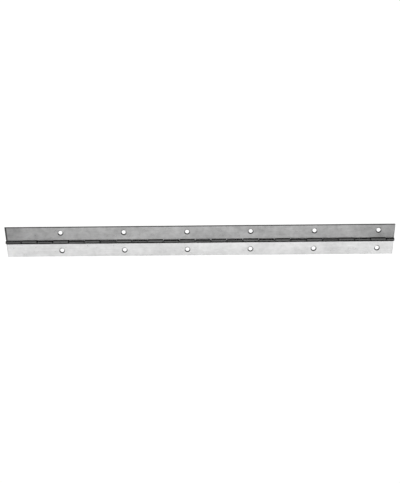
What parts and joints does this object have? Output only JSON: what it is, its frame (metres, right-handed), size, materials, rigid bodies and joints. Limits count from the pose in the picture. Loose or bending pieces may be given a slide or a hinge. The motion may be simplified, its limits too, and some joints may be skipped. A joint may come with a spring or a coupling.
{
  "type": "piano hinge",
  "caption": "Continuous hinge of two narrow sheet-metal leaves with interleaved rolled knuckles on one wire pin, each leaf with a row of countersunk screw holes.",
  "frame": {"origin": "middle of the hinge's length, under the pin's axis, on the plane of the leaves' backs, with the hinge lying flat open", "axes": "+X along the pin, towards the end with the half knuckle; +Y across, towards the edge of the door leaf; +Z away from the backs, the side the knuckles stand out on"},
  "size_m": [0.3112, 0.0254, 0.0026],
  "materials": {
    "leaf_steel": "rolled mill finish, satin",
    "pin_steel": "drawn wire, satin"
  },
  "bodies": {
    "frame": {"frame_leaf": "leaf_steel", "hinge_pin": "pin_steel"},
    "door": {"door_leaf": "leaf_steel"}
  },
  "joints": [
    {"name": "leaf_swing", "type": "hinge", "parent": "frame", "child": "door", "pos_m": [0, 0, 0.0013], "axis": [1, 0, 0], "range_deg": [-75, 180]}
  ]
}
